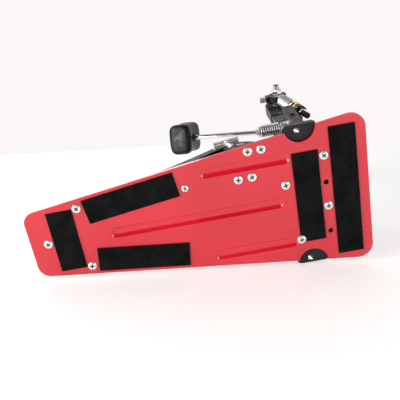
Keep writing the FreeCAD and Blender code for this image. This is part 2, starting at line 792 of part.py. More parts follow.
def makeClamp():
    """The hoop clamp: base with two ears, pin, swinging jaw, rubber pads and push bar."""
    pivot = ("jawPivotAlong", "jawPivotUp")
    base = [block((-49.5, 122, plateTop), (49.5, 142, 9.4))]
    for start in (-10, 42):
        base.append(block((start, 127, plateTop), (start + 5, 141, "jawPivotUp")))
        base.append(bar((start, *pivot), 7, 5, alongX))
    wells = [screwWell(x, y, 8.5) for x, y in clampScrews + openHoles]
    baseBore, jawBore = [bar((-12, *pivot), "pivotPin + fitGap", 62, alongX) for _ in range(2)]
    node("clamp_base", cut(joined(*base), baseBore, *wells))
    node("clamp_pin", bar((-11.5, *pivot), "pivotPin", 60, alongX))
    jaw = joined(
        bar((-4.5, *pivot), 6, 46, alongX),
        block((32.5, 127.6, "jawPivotUp"), (39.5, "jawPivotAlong", 26)),
        block((-4.5, 132, "jawPivotUp"), (30, 140, 34)),
        block((-4.5, 132, 28), (30, 174, 34)),
        block((-4.5, 165, 22), (30, 174, 30)),
    )
    node("clamp_jaw", cut(jaw, jawBore))
    node("jaw_pad", block((-3.5, 165.5, 19.8), (29, 173.5, 22)))
    node("hoop_pad", block((-3.5, 153, plateTop), (29, 172, "stripThick + sheetThick + 2")))
    bars = joined(
        block((31.2, 50, 20), (40.8, 127, 24.6)),
        block((31.2, 50, 20), (62, 58, 24.6)),
    )
    node("clamp_push_bar", bars)


def makeKeyClip():
    """A small block under the board's right side, held by the smaller screw."""
    clip = block((28, -22, plateTop), (40, 5, 13))
    slot = bar((34, -23, 13.2), 3.2, 30, alongY)
    node("key_clip", cut(clip, slot, screwWell(*clipScrew, 9, 2.1)))


makePlate()
makeStrips()
makeScrews()
makeHeel()
makeBoard()
makeToeClevis()
makeLink()
makeAxle()
makeArm()
makeHub()
makeBeater()
makeRocker()
makeSpring()
makeTensionBracket()
makeAnchorBolt()
for name, side in (("right", 1), ("left", -1)):
    makePost(name, side)
    makeSpur(name, side)
makeBearings()
makeBridge()
makeClampBracket()
makeScrew()
makeClamp()
makeKeyClip()

doc.recompute()
for item in doc.Objects:
    assert not {"Invalid", "Error"} & set(item.State), (item.Name, item.Label, item.State)
for label, piece in nodes.items():
    assert not piece.Shape.isNull() and piece.Shape.isValid(), label

os.makedirs("parts", exist_ok=True)
for label, piece in nodes.items():
    piece.Shape.exportStep(f"parts/{label}.step")
    box = piece.Shape.BoundBox
    corners = (box.XMin, box.YMin, box.ZMin, box.XMax, box.YMax, box.ZMax)
    print(label, len(piece.Shape.Solids), round(piece.Shape.Volume), [round(v, 1) for v in corners])
print(len(nodes), "nodes")
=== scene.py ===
# Bass drum pedal: a red pressed base plate seen from below, with hook-and-loop strips,
# pan head screws, a footboard, two posts with an axle, a beater and a return spring.
import json
import math

import bmesh
import bpy
from mathutils import Matrix, Vector

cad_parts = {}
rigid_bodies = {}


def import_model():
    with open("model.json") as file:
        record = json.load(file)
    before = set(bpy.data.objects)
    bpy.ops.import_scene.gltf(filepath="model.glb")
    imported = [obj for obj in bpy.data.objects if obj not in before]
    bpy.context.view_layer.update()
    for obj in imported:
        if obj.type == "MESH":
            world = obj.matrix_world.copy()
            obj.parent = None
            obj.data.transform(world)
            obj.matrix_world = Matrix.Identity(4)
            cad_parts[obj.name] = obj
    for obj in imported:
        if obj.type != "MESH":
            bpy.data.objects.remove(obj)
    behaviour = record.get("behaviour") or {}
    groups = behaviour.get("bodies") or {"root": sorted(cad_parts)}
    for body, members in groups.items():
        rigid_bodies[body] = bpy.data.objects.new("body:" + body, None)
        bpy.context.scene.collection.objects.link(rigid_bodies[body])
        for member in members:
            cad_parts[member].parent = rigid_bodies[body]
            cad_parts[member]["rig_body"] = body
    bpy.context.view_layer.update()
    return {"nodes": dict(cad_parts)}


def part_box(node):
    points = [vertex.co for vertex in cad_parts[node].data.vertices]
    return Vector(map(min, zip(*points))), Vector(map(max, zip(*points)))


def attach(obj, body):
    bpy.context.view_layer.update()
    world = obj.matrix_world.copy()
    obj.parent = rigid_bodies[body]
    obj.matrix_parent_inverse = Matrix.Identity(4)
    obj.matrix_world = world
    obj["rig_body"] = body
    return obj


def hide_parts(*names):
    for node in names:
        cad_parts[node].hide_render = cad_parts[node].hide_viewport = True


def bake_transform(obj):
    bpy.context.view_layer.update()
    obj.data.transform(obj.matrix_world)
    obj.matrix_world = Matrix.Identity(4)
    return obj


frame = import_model()
mm = 0.001


def linkToScene(item):
    bpy.context.scene.collection.objects.link(item)
    return item


def newPiece(name, mesh, finish):
    mesh.materials.clear()
    mesh.materials.append(finish)
    return linkToScene(bpy.data.objects.new(name, mesh))


def smoothFaces(mesh, angle):
    mesh.shade_smooth()
    mesh.set_sharp_from_angle(angle=math.radians(angle))


def standIn(piece, node, body):
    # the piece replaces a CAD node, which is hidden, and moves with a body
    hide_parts(node)
    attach(piece, body)


def bakeModifiers(piece):
    # the shape with its modifiers becomes the mesh itself
    bpy.context.view_layer.update()
    graph = bpy.context.evaluated_depsgraph_get()
    made = bpy.data.meshes.new_from_object(piece.evaluated_get(graph))
    made.name = piece.name
    piece.modifiers.clear()
    piece.data = made
    return piece


def mergedCopy(node, name):
    # a welded copy of a CAD node with its flat areas joined up again
    mesh = frame["nodes"][node].data.copy()
    mesh.name = name
    if "custom_normal" in mesh.attributes:
        mesh.attributes.remove(mesh.attributes["custom_normal"])
    shape = bmesh.new()
    shape.from_mesh(mesh)
    bmesh.ops.remove_doubles(shape, verts=shape.verts, dist=2e-6)
    bmesh.ops.dissolve_limit(
        shape, angle_limit=math.radians(0.6), verts=shape.verts, edges=shape.edges
    )
    shape.to_mesh(mesh)
    shape.free()
    return mesh


def newFinish(name, colour, roughness, metallic=0.0):
    finish = bpy.data.materials.new(name)
    finish.use_nodes = True
    finish.diffuse_color = (*colour, 1)
    shader = finish.node_tree.nodes["Principled BSDF"]
    shader.inputs["Base Color"].default_value = (*colour, 1)
    shader.inputs["Roughness"].default_value = roughness
    shader.inputs["Metallic"].default_value = metallic
    return finish, finish.node_tree, shader


def grain(tree, scale, detail=4.0, stretch=(1, 1, 1), offset=0.0):
    # noise over the piece's own coordinates, in metres
    where = tree.nodes.new("ShaderNodeTexCoord")
    placed = tree.nodes.new("ShaderNodeMapping")
    placed.inputs["Scale"].default_value = stretch
    placed.inputs["Location"].default_value = (offset, offset * 0.7, offset * 1.3)
    noise = tree.nodes.new("ShaderNodeTexNoise")
    noise.inputs["Scale"].default_value = scale
    noise.inputs["Detail"].default_value = detail
    tree.links.new(where.outputs["Object"], placed.inputs["Vector"])
    tree.links.new(placed.outputs["Vector"], noise.inputs["Vector"])
    return noise.outputs["Fac"]


def spread(tree, value, low, high, start=0.35, end=0.65):
    # carries a 0 to 1 value onto another range
    node = tree.nodes.new("ShaderNodeMapRange")
    node.inputs["From Min"].default_value = start
    node.inputs["From Max"].default_value = end
    node.inputs["To Min"].default_value = low
    node.inputs["To Max"].default_value = high
    tree.links.new(value, node.inputs["Value"])
    return node.outputs["Result"]


def tint(tree, value, first, second):
    node = tree.nodes.new("ShaderNodeMix")
    node.data_type = "RGBA"
    if isinstance(first, tuple):
        node.inputs[6].default_value = (*first, 1)
    else:
        tree.links.new(first, node.inputs[6])
    node.inputs[7].default_value = (*second, 1)
    tree.links.new(value, node.inputs[0])
    return node.outputs[2]


def relief(tree, shader, height, distance, strength):
    node = tree.nodes.new("ShaderNodeBump")
    node.inputs["Distance"].default_value = distance
    node.inputs["Strength"].default_value = strength
    tree.links.new(height, node.inputs["Height"])
    tree.links.new(node.outputs["Normal"], shader.inputs["Normal"])


def edgeMask(tree, width, ragged):
    # 1 along outer and inner edges, broken up by a noise, 0 on open faces
    rounded = tree.nodes.new("ShaderNodeBevel")
    rounded.samples = 4
    rounded.inputs["Radius"].default_value = width
    plain = tree.nodes.new("ShaderNodeNewGeometry")
    match = tree.nodes.new("ShaderNodeVectorMath")
    match.operation = "DOT_PRODUCT"
    tree.links.new(rounded.outputs["Normal"], match.inputs[0])
    tree.links.new(plain.outputs["Normal"], match.inputs[1])
    edge = spread(tree, match.outputs["Value"], 1, 0, 0.80, 0.97)
    both = tree.nodes.new("ShaderNodeMath")
    both.operation = "MULTIPLY"
    both.use_clamp = True
    tree.links.new(edge, both.inputs[0])
    tree.links.new(spread(tree, ragged, 0, 1, 0.40, 0.62), both.inputs[1])
    return both.outputs["Value"]


redLook = {
    "deep": (0.56, 0.002, 0.014),
    "bright": (0.65, 0.004, 0.020),
    "worn": (0.72, 0.10, 0.11),
    "wearWidth": 0.0009,
    "smooth": 0.16,
    "smeared": 0.30,
    "coat": 0.65,
    "coatRoughness": 0.05,
    "peel": 650,
    "peelDepth": 0.00003,
}


def redEnamel():
    finish, tree, shader = newFinish("redEnamel", redLook["bright"], 0.22)
    patches = grain(tree, 14, 5)
    colour = tint(tree, spread(tree, patches, 0, 1), redLook["deep"], redLook["bright"])
    edge = edgeMask(tree, redLook["wearWidth"], grain(tree, 160, 3, offset=3))
    tree.links.new(tint(tree, edge, colour, redLook["worn"]), shader.inputs["Base Color"])
    smear = grain(tree, 38, 6, (1, 0.35, 1), 1.7)
    gloss = spread(tree, smear, redLook["smooth"], redLook["smeared"])
    tree.links.new(gloss, shader.inputs["Roughness"])
    shader.inputs["Specular IOR Level"].default_value = 0.5
    shader.inputs["Coat Weight"].default_value = redLook["coat"]
    shader.inputs["Coat Roughness"].default_value = redLook["coatRoughness"]
    relief(tree, shader, grain(tree, redLook["peel"], 1), redLook["peelDepth"], 0.5)
    return finish


def hookFabric():
    finish, tree, shader = newFinish("hookFabric", (0.008, 0.008, 0.009), 0.95)
    lint = grain(tree, 900, 2, offset=5)
    clumps = grain(tree, 60, 4)
    dark = tint(tree, spread(tree, clumps, 0, 1), (0.003, 0.003, 0.003), (0.008, 0.008, 0.009))
    dusty = tint(tree, spread(tree, lint, 0, 1, 0.74, 0.82), dark, (0.12, 0.115, 0.11))
    tree.links.new(dusty, shader.inputs["Base Color"])
    shader.inputs["Specular IOR Level"].default_value = 0.1
    relief(tree, shader, grain(tree, 1400, 2), 0.0002, 0.8)
    return finish


def brightZinc():
    finish, tree, shader = newFinish("brightZinc", (0.82, 0.82, 0.79), 0.34, 0.7)
    cloud = grain(tree, 420, 4)
    colour = tint(tree, spread(tree, cloud, 0, 1), (0.70, 0.70, 0.66), (0.90, 0.90, 0.88))
    tree.links.new(colour, shader.inputs["Base Color"])
    tree.links.new(spread(tree, grain(tree, 700, 3, offset=2), 0.24, 0.42), shader.inputs["Roughness"])
    relief(tree, shader, grain(tree, 1600, 2), 0.00002, 0.5)
    return finish


def satinSteel():
    finish, tree, shader = newFinish("satinSteel", (0.56, 0.56, 0.55), 0.36, 1.0)
    lines = grain(tree, 260, 5, (1, 8, 8))
    colour = tint(tree, spread(tree, lines, 0, 1), (0.44, 0.44, 0.43), (0.64, 0.64, 0.63))
    tree.links.new(colour, shader.inputs["Base Color"])
    tree.links.new(spread(tree, lines, 0.26, 0.46), shader.inputs["Roughness"])
    relief(tree, shader, lines, 0.00002, 0.4)
    return finish


def polishedChrome():
    finish, tree, shader = newFinish("polishedChrome", (0.80, 0.80, 0.82), 0.08, 0.92)
    film = grain(tree, 90, 5)
    colour = tint(tree, spread(tree, film, 0, 1), (0.72, 0.72, 0.75), (0.86, 0.86, 0.87))
    tree.links.new(colour, shader.inputs["Base Color"])
    tree.links.new(spread(tree, grain(tree, 240, 5, offset=4), 0.05, 0.16), shader.inputs["Roughness"])
    relief(tree, shader, grain(tree, 500, 2), 0.00001, 0.3)
    return finish


def darkFinish(name, dark, light, worn, roughness, texture, depth, wearWidth):
    # paint, plastic or a casting: mottled, with paler broken wear along its edges
    finish, tree, shader = newFinish(name, dark, roughness)
    mottle = tint(tree, spread(tree, grain(tree, 70, 5), 0, 1), dark, light)
    edge = edgeMask(tree, wearWidth, grain(tree, 260, 3, offset=6))
    colour = tint(tree, edge, mottle, worn)
    tree.links.new(colour, shader.inputs["Base Color"])
    smear = grain(tree, 120, 5, offset=2)
    gloss = spread(tree, smear, roughness - 0.08, roughness + 0.12)
    tree.links.new(gloss, shader.inputs["Roughness"])
    shader.inputs["Specular IOR Level"].default_value = 0.32
    relief(tree, shader, grain(tree, texture, 3, offset=1), depth, 0.6)
    return finish


def warmBrass():
    finish, tree, shader = newFinish("warmBrass", (0.72, 0.52, 0.22), 0.3, 1.0)
    stain = grain(tree, 300, 5)
    colour = tint(tree, spread(tree, stain, 0, 1), (0.50, 0.33, 0.12), (0.82, 0.62, 0.30))
    tree.links.new(colour, shader.inputs["Base Color"])
    tree.links.new(spread(tree, stain, 0.36, 0.22), shader.inputs["Roughness"])
    relief(tree, shader, grain(tree, 900, 2), 0.00002, 0.5)
    return finish


def denseFelt():
    finish, tree, shader = newFinish("denseFelt", (0.06, 0.06, 0.065), 0.95)
    fibres = grain(tree, 900, 6, (1, 1, 3))
    colour = tint(tree, spread(tree, fibres, 0, 1), (0.018, 0.018, 0.020), (0.07, 0.07, 0.074))
    tree.links.new(colour, shader.inputs["Base Color"])
    shader.inputs["Sheen Weight"].default_value = 0.3
    shader.inputs["Sheen Roughness"].default_value = 0.6
    relief(tree, shader, grain(tree, 700, 5), 0.0004, 0.9)
    return finish


# colours: dark, light, worn edge; surface: roughness, texture scale, its depth, wear width
darkLooks = {
    "black_paint": {
        "colours": ((0.004, 0.004, 0.005), (0.010, 0.009, 0.010), (0.10, 0.09, 0.09)),
        "surface": (0.34, 500, 0.00004, 0.0006),
    },
    "cast_grey": {
        "colours": ((0.060, 0.055, 0.060), (0.105, 0.098, 0.105), (0.28, 0.27, 0.27)),
        "surface": (0.46, 900, 0.00012, 0.0008),
    },
    "black_plastic": {
        "colours": ((0.005, 0.005, 0.006), (0.012, 0.012, 0.013), (0.05, 0.05, 0.05)),
        "surface": (0.36, 1500, 0.00003, 0.0005),
    },
    "nylon": {
        "colours": ((0.66, 0.65, 0.60), (0.78, 0.77, 0.73), (0.85, 0.84, 0.80)),
        "surface": (0.40, 900, 0.00003, 0.0005),
    },
    "rubber": {
        "colours": ((0.010, 0.010, 0.010), (0.020, 0.020, 0.020), (0.06, 0.06, 0.06)),
        "surface": (0.80, 1300, 0.00008, 0.0006),
    },
    # dark teal for the inside of the screws' cross recesses: painted shade
    "recess": {
        "colours": ((0.030, 0.048, 0.046), (0.060, 0.085, 0.080), (0.20, 0.24, 0.23)),
        "surface": (0.50, 1500, 0.00003, 0.0002),
    },
}

finishes = {
    "red_paint": redEnamel(),
    "hook_loop": hookFabric(),
    "zinc": brightZinc(),
    "steel": satinSteel(),
    "chrome": polishedChrome(),
    "brass": warmBrass(),
    "felt": denseFelt(),
}
for slotName, look in darkLooks.items():
    finishes[slotName] = darkFinish(slotName, *look["colours"], *look["surface"])

# every CAD node takes the finish of its record slot
slotOfNode = {}
for nodeName, item in frame["nodes"].items():
    for place in item.material_slots:
        slotOfNode[nodeName] = place.material.name
        place.material = finishes[place.material.name]
print("finishes ready")

cameraLook = {
    "place": Vector((0.2647, 0.0175, -0.5488)),
    "back": Vector((0.408, 0.0225, -0.9127)),
    "up": Vector((0.8966, 0.1786, 0.4052)),
    "lens": 54,
    "sensor": 36,
}


def makeCamera():
    data = bpy.data.cameras.new("camera")
    data.lens = cameraLook["lens"]
    data.sensor_width = cameraLook["sensor"]
    data.clip_start = 0.01
    item = linkToScene(bpy.data.objects.new("camera", data))
    back = cameraLook["back"].normalized()
    right = cameraLook["up"].cross(back).normalized()
    up = back.cross(right)
    turn = Matrix((right, up, back)).transposed()
    item.matrix_world = Matrix.Translation(cameraLook["place"]) @ turn.to_4x4()
    bpy.context.scene.camera = item


def palePaper(name, colour):
    # solid from the front and clear from behind, so it never hides the pedal
    finish, tree, shader = newFinish(name, colour, 0.75)
    shader.inputs["Emission Color"].default_value = (*colour, 1)
    shader.inputs["Emission Strength"].default_value = stageLook["glow"]
    side = tree.nodes.new("ShaderNodeNewGeometry")
    clear = tree.nodes.new("ShaderNodeBsdfTransparent")
    either = tree.nodes.new("ShaderNodeMixShader")
    tree.links.new(side.outputs["Backfacing"], either.inputs[0])
    tree.links.new(shader.outputs[0], either.inputs[1])
    tree.links.new(clear.outputs[0], either.inputs[2])
    tree.links.new(either.outputs[0], tree.nodes["Material Output"].inputs["Surface"])
    return finish


def stageSheet(name, corners, finish):
    mesh = bpy.data.meshes.new(name)
    mesh.from_pydata(corners, [], [(0, 1, 2, 3)])
    sheet = newPiece(name, mesh, finish)
    return sheet


stageLook = {
    "paper": (0.95, 0.945, 0.94),
    "tableNormal": Vector((0.9914, 0.1309, 0.0)),
    "tableReach": 2.0,
    "tableBack": 0.42,
    "wall": (0.96, 0.93, 0.925),
    "room": (0.90, 0.86, 0.86),
    "roomBelow": 0.05,
    "roomAbove": 0.75,
    "glow": 0.42,
}


def makeFloor(paper):
    reach = stageLook["tableReach"]
    flat = [(-reach, -reach, 0), (reach, -reach, 0), (reach, reach, 0), (-reach, reach, 0)]
    floor = stageSheet("floor", flat, paper)
    # light comes up through the floor, which lights the underside as when the pedal lies down
    floor.visible_diffuse = False
    floor.visible_glossy = False
    floor.visible_transmission = False
    floor.visible_shadow = False


def makeTable(paper):
    # the pedal lies on its left side against a second sheet, seen only from its front
    normal = stageLook["tableNormal"]
    reach = stageLook["tableReach"]
    nodes = frame["nodes"].values()
    lowest = min(vertex.co.dot(normal) for item in nodes for vertex in item.data.vertices)
    along = Vector((0, 0, 1)).cross(normal) * reach
    start = normal * lowest
    below = Vector((0, 0, -reach))
    above = Vector((0, 0, stageLook["tableBack"]))
    corners = [
        start - along + below,
        start + along + below,
        start + along + above,
        start - along + above,
    ]
    stageSheet("sidePaper", corners, paper)


def makeRoom():
    world = bpy.data.worlds.new("studio")
    world.use_nodes = True
    tree = world.node_tree
    wall = tree.nodes["Background"]
    wall.inputs["Color"].default_value = (*stageLook["wall"], 1)
    # the room is bright above the floor and dim below it
    heading = tree.nodes.new("ShaderNodeTexCoord")
    parts = tree.nodes.new("ShaderNodeSeparateXYZ")
    tree.links.new(heading.outputs["Generated"], parts.inputs[0])
    room = tree.nodes.new("ShaderNodeBackground")
    room.inputs["Color"].default_value = (*stageLook["room"], 1)
    low = stageLook["roomBelow"]
    high = stageLook["roomAbove"]
    strength = spread(tree, parts.outputs["Z"], low, high, -0.1, 0.35)
    tree.links.new(strength, room.inputs["Strength"])
    # the camera sees the pale wall, everything else sees the room
    seen = tree.nodes.new("ShaderNodeLightPath")
    either = tree.nodes.new("ShaderNodeMixShader")
    tree.links.new(seen.outputs["Is Camera Ray"], either.inputs[0])
    tree.links.new(room.outputs[0], either.inputs[1])
    tree.links.new(wall.outputs[0], either.inputs[2])
    tree.links.new(either.outputs[0], tree.nodes["World Output"].inputs["Surface"])
    bpy.context.scene.world = world
    bpy.context.scene.view_settings.view_transform = "Standard"


# each light: where it stands, how wide it is in metres, and its power
lightLook = {
    "overhead": ((0.8, -1.0, -0.35), 0.5, 6),
    "leftBox": ((0.25, -1.0, -0.85), 0.5, 11.5),
    "rightBox": ((0.25, 1.0, -0.85), 0.5, 6.5),
    "skyBox": ((0.3, -0.5, 1.1), 0.9, 6),
}
lightAim = Vector((0, 0, 0.05))


def softLight(name, place, size, power):
    data = bpy.data.lights.new(name, "AREA")
    data.shape = "DISK"
    data.size = size
    data.energy = power
    item = linkToScene(bpy.data.objects.new(name, data))
    item.location = place
    item.rotation_euler = (lightAim - Vector(place)).to_track_quat("-Z", "Y").to_euler()


makeCamera()
paperFinish = palePaper("paperFloor", stageLook["paper"])
makeFloor(paperFinish)
makeTable(paperFinish)
makeRoom()
for lightName, look in lightLook.items():
    softLight(lightName, *look)
print("camera and stage ready")


def newTree(name, sizes):
    tree = bpy.data.node_groups.new(name, "GeometryNodeTree")
    tree.interface.new_socket("Geometry", in_out="INPUT", socket_type="NodeSocketGeometry")
    for label, value in sizes.items():
        kind = "NodeSocketInt" if isinstance(value, int) else "NodeSocketFloat"
        socket = tree.interface.new_socket(label, in_out="INPUT", socket_type=kind)
        socket.default_value = value
    tree.interface.new_socket("Geometry", in_out="OUTPUT", socket_type="NodeSocketGeometry")
    tree.nodes.new("NodeGroupOutput")
    return tree, tree.nodes.new("NodeGroupInput")


def closeTree(tree, geometry, finish):
    # every tree ends in real geometry with its finish set
    real = tree.nodes.new("GeometryNodeRealizeInstances")
    coat = tree.nodes.new("GeometryNodeSetMaterial")
    coat.inputs["Material"].default_value = finish
    tree.links.new(geometry, real.inputs["Geometry"])
    tree.links.new(real.outputs["Geometry"], coat.inputs["Geometry"])
    tree.links.new(coat.outputs["Geometry"], tree.nodes["Group Output"].inputs[0])


def runTree(piece, tree, sizes):
    # runs the tree on the piece, keeps the result as plain mesh and one finish
    modifier = piece.modifiers.new(tree.name, "NODES")
    modifier.node_group = tree
    for item in tree.interface.items_tree:
        if item.in_out == "INPUT" and item.name in sizes:
            modifier[item.identifier] = sizes[item.name]
    finish = piece.data.materials[0]
    bakeModifiers(piece)
    piece.data.materials.clear()
    piece.data.materials.append(finish)
    for face in piece.data.polygons:
        face.material_index = 0
    return piece


plateSizes = {"edgeRound": 0.7 * mm, "rounds": 3}
easeAngle = 35
sharpAngle = 30


def easeEdges(piece, width, segments=2):
    bevel = piece.modifiers.new("easedEdges", "BEVEL")
    bevel.width = width
    bevel.segments = segments
    bevel.limit_method = "ANGLE"
    bevel.angle_limit = math.radians(easeAngle)
    bevel.use_clamp_overlap = True
    bakeModifiers(piece)
    smoothFaces(piece.data, sharpAngle)
    # large flat faces keep their own direction, so no faint triangles show on them
    flatter = piece.modifiers.new("flatFaces", "WEIGHTED_NORMAL")
    flatter.keep_sharp = True
    flatter.weight = 100
    return bakeModifiers(piece)


def makePlate():
    mesh = mergedCopy("base_plate", "plateSheet")
    plate = newPiece("plateSheet", mesh, finishes["red_paint"])
    easeEdges(plate, plateSizes["edgeRound"], plateSizes["rounds"])
    standIn(plate, "base_plate", "base")


makePlate()
print("plate ready")

screwSizes = {
    "head": 4.65 * mm,
    "tall": 1.7 * mm,
    "crossLong": 2.75 * mm,
    "crossWide": 0.72 * mm,
    "crossDeep": 1.45 * mm,
    "sides": 40,
    "shank": 2.5 * mm,
    "stubDeep": 3.2 * mm,
    "stubSides": 16,
}
# how far out and how high each ring of the head lies
headProfile = [
    (0.45, 1.0),
    (0.70, 0.95),
    (0.86, 0.82),
    (0.95, 0.62),
    (0.99, 0.38),
    (1.0, 0.12),
    (0.97, 0.0),
]


def lathe(shape, profile, sides):
    # rings from the top down, closed at both ends
    rings = []
    for radius, height in profile:
        ring = []
        for i in range(sides):
            turn = 2 * math.pi * i / sides
            ring.append(shape.verts.new((radius * math.cos(turn), radius * math.sin(turn), height)))
        rings.append(ring)
    for upper, lower in zip(rings, rings[1:]):
        for i in range(sides):
            j = (i + 1) % sides
            shape.faces.new((upper[i], lower[i], lower[j], upper[j]))
    shape.faces.new(rings[0])
    shape.faces.new(list(reversed(rings[-1])))


def loft(shape, rings):
    # joins each ring of corners to the next one
    for upper, lower in zip(rings, rings[1:]):
        count = len(upper)
        for i in range(count):
            j = (i + 1) % count
            shape.faces.new((upper[i], upper[j], lower[j], lower[i]))


def crossCutter(longHalf, wideHalf, depth, top):
    # a four-armed recess that narrows to its floor
    shape = bmesh.new()
    arms = []
    for quarter in range(4):
        turn = Matrix.Rotation(math.pi / 2 * quarter, 3, "Z")
        for x, y in ((longHalf, -wideHalf), (longHalf, wideHalf), (wideHalf, wideHalf)):
            arms.append(turn @ Vector((x, y, 0)))
    upper = [shape.verts.new(point * 1.05 + Vector((0, 0, top + depth * 0.4))) for point in arms]
    lower = [shape.verts.new(point * 0.55 + Vector((0, 0, top - depth))) for point in arms]
    shape.faces.new(upper)
    shape.faces.new(list(reversed(lower)))
    for i in range(12):
        j = (i + 1) % 12
        shape.faces.new((upper[i], lower[i], lower[j], upper[j]))
    mesh = bpy.data.meshes.new("crossCutter")
    shape.to_mesh(mesh)
    shape.free()
    return linkToScene(bpy.data.objects.new("crossCutter", mesh))


def makeScrewHead(scale):
    # one head and a stub of its shank, its top at +Z
    shape = bmesh.new()
    head = screwSizes["head"] * scale
    tall = screwSizes["tall"]
    lathe(shape, [(head * r, tall * h) for r, h in headProfile], screwSizes["sides"])
    stub = screwSizes["shank"] * scale
    stubRings = [(stub, tall * 0.3), (stub, -screwSizes["stubDeep"])]
    lathe(shape, stubRings, screwSizes["stubSides"])
    mesh = bpy.data.meshes.new("screwHead")
    shape.to_mesh(mesh)
    shape.free()
    item = linkToScene(bpy.data.objects.new("screwHead", mesh))
    long = screwSizes["crossLong"] * scale
    wide = screwSizes["crossWide"] * scale
    cutter = crossCutter(long, wide, screwSizes["crossDeep"], tall)
    recess = item.modifiers.new("recess", "BOOLEAN")
    recess.operation = "DIFFERENCE"
    recess.object = cutter
    bakeModifiers(item)
    bpy.data.objects.remove(cutter)
    smoothFaces(item.data, 34)
    return item


def headPlaces(node):
    # the middle of each loose solid of a node of screws
    shape = bmesh.new()
    shape.from_mesh(mergedCopy(node, node + "Places"))
    left = set(shape.verts)
    middles = []
    while left:
        stack = [left.pop()]
        low = stack[0].co.copy()
        high = stack[0].co.copy()
        while stack:
            vertex = stack.pop()
            low = Vector(map(min, low, vertex.co))
            high = Vector(map(max, high, vertex.co))
            for edge in vertex.link_edges:
                other = edge.other_vert(vertex)
                if other in left:
                    left.remove(other)
                    stack.append(other)
        middles.append(((low.x + high.x) / 2, (low.y + high.y) / 2, low.z))
    shape.free()
    return sorted(middles)


def screwTree(name, head, finish, seed):
    tree, start = newTree(name, {"seed": seed})
    info = tree.nodes.new("GeometryNodeObjectInfo")
    info.inputs["Object"].default_value = head
    spin = tree.nodes.new("FunctionNodeRandomValue")
    spin.data_type = "FLOAT_VECTOR"
    spin.inputs[0].default_value = (math.pi, 0, 0)
    spin.inputs[1].default_value = (math.pi, 0, math.pi / 2)
    place = tree.nodes.new("GeometryNodeInstanceOnPoints")
    tree.links.new(start.outputs["seed"], spin.inputs["Seed"])
    tree.links.new(start.outputs["Geometry"], place.inputs["Points"])
    tree.links.new(info.outputs["Geometry"], place.inputs["Instance"])
    tree.links.new(spin.outputs[0], place.inputs["Rotation"])
    closeTree(tree, place.outputs["Instances"], finish)
    return tree


def paintRecessShade(screws, places, scale):
    # the floor and walls of each cross recess take a dark teal finish, which is painted shade
    screws.data.materials.append(finishes["recess"])
    reach = screwSizes["crossLong"] * scale * 1.1
    for face in screws.data.polygons:
        middle = face.center
        for x, y, z in places:
            near = math.hypot(middle.x - x, middle.y - y) < reach
            if near and 0.1 * mm < middle.z - z < screwSizes["tall"]:
                face.material_index = 1


def makeScrews(node, name, scale, seed):
    head = makeScrewHead(scale)
    mesh = bpy.data.meshes.new(name)
    top = screwSizes["tall"]
    mesh.from_pydata([(x, y, z + top) for x, y, z in headPlaces(node)], [], [])
    screws = newPiece(name, mesh, finishes["zinc"])
    runTree(screws, screwTree(name, head, finishes["zinc"], seed), {"seed": seed})
    bpy.data.objects.remove(head)
    paintRecessShade(screws, headPlaces(node), scale)
    standIn(screws, node, "base")


makeScrews("base_screws", "panScrews", 1.0, 5)
makeScrews("clip_screw", "smallPanScrew", 0.8, 2)
print("screws ready")

stripSizes = {
    "pile": 0.55 * mm,
    "spacing": 1.25 * mm,
    "hook": 0.34 * mm,
    "thread": 0.09 * mm,
    "seed": 11,
}
pileLook = {"mostPerArea": 900000, "arcStart": -25, "arcSweep": 205, "foot": 0.2 * mm, "tilt": 0.35}


def scatterPoints(tree, start):
    # points spread evenly over the faces that look down
    normal = tree.nodes.new("GeometryNodeInputNormal")
    split = tree.nodes.new("ShaderNodeSeparateXYZ")
    down = tree.nodes.new("FunctionNodeCompare")
    down.operation = "LESS_THAN"
    down.inputs[1].default_value = -0.9
    tree.links.new(normal.outputs[0], split.inputs[0])
    tree.links.new(split.outputs["Z"], down.inputs[0])
    scatter = tree.nodes.new("GeometryNodeDistributePointsOnFaces")
    scatter.distribute_method = "POISSON"
    scatter.inputs["Density Max"].default_value = pileLook["mostPerArea"]
    tree.links.new(start.outputs["Geometry"], scatter.inputs["Mesh"])
    tree.links.new(down.outputs[0], scatter.inputs["Selection"])
    tree.links.new(start.outputs["spacing"], scatter.inputs["Distance Min"])
    tree.links.new(start.outputs["seed"], scatter.inputs["Seed"])
    return scatter.outputs["Points"]


def hookShape(tree, start):
    # one hook of thread, standing up
    arc = tree.nodes.new("GeometryNodeCurveArc")
    arc.inputs["Resolution"].default_value = 5
    arc.inputs["Start Angle"].default_value = math.radians(pileLook["arcStart"])
    arc.inputs["Sweep Angle"].default_value = math.radians(pileLook["arcSweep"])
    thread = tree.nodes.new("GeometryNodeCurvePrimitiveCircle")
    thread.inputs["Resolution"].default_value = 3
    hook = tree.nodes.new("GeometryNodeCurveToMesh")
    tree.links.new(start.outputs["hook"], arc.inputs["Radius"])
    tree.links.new(start.outputs["thread"], thread.inputs["Radius"])
    tree.links.new(arc.outputs["Curve"], hook.inputs["Curve"])
    tree.links.new(thread.outputs["Curve"], hook.inputs["Profile Curve"])
    stand = tree.nodes.new("GeometryNodeTransform")
    stand.inputs["Rotation"].default_value = (math.pi / 2, 0, 0)
    stand.inputs["Translation"].default_value = (0, 0, pileLook["foot"])
    tree.links.new(hook.outputs["Mesh"], stand.inputs["Geometry"])
    return stand.outputs["Geometry"]


